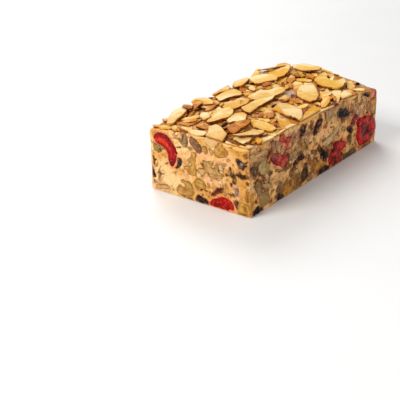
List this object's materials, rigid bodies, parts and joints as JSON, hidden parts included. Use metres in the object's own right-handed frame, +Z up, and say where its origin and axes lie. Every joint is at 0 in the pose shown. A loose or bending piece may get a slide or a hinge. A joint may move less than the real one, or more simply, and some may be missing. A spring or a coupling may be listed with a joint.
{
  "type": "fruit cake loaf",
  "caption": "Cut loaf of light fruit cake with cherries, walnuts, raisins and candied peel in its faces and sliced almonds on top.",
  "frame": {"origin": "centre of the base of the whole loaf's bounding box", "axes": "+X along the loaf from the cut end to the far end, +Y across it away from the long side that shows, +Z up"},
  "size_m": [0.1446, 0.0744, 0.0495],
  "materials": {
    "batter": "moist light crumb, cut smooth on two faces and baked on the others",
    "cherry": "translucent candied flesh, glossy",
    "walnut": "smooth cut nut with a thin dark skin",
    "raisin": "dark wrinkled skin with a soft gloss",
    "peel": "translucent amber candied peel",
    "almond": "toasted sliced almond with brown skin at the rim, lightly glazed"
  },
  "bodies": {
    "root": {"cake": "batter", "cherry_01": "cherry", "cherry_02": "cherry", "cherry_03": "cherry", "cherry_04": "cherry", "cherry_05": "cherry", "cherry_06": "cherry", "cherry_07": "cherry", "cherry_08": "cherry", "walnut_01": "walnut", "walnut_02": "walnut", "walnut_03": "walnut", "walnut_04": "walnut", "walnut_05": "walnut", "walnut_06": "walnut", "walnut_07": "walnut", "walnut_08": "walnut", "walnut_09": "walnut", "walnut_10": "walnut", "walnut_11": "walnut", "walnut_12": "walnut", "raisin_01": "raisin", "raisin_02": "raisin", "raisin_03": "raisin", "raisin_04": "raisin", "raisin_05": "raisin", "raisin_06": "raisin", "raisin_07": "raisin", "raisin_08": "raisin", "raisin_09": "raisin", "raisin_10": "raisin", "raisin_11": "raisin", "raisin_12": "raisin", "raisin_13": "raisin", "raisin_14": "raisin", "peel_01": "peel", "peel_02": "peel", "peel_03": "peel", "peel_04": "peel", "almond_01": "almond", "almond_02": "almond", "almond_03": "almond", "almond_04": "almond", "almond_05": "almond", "almond_06": "almond", "almond_07": "almond", "almond_08": "almond", "almond_09": "almond", "almond_10": "almond", "almond_11": "almond", "almond_12": "almond", "almond_13": "almond", "almond_14": "almond", "almond_15": "almond", "almond_16": "almond", "almond_17": "almond", "almond_18": "almond", "almond_19": "almond", "almond_20": "almond", "almond_21": "almond"}
  },
  "joints": []
}
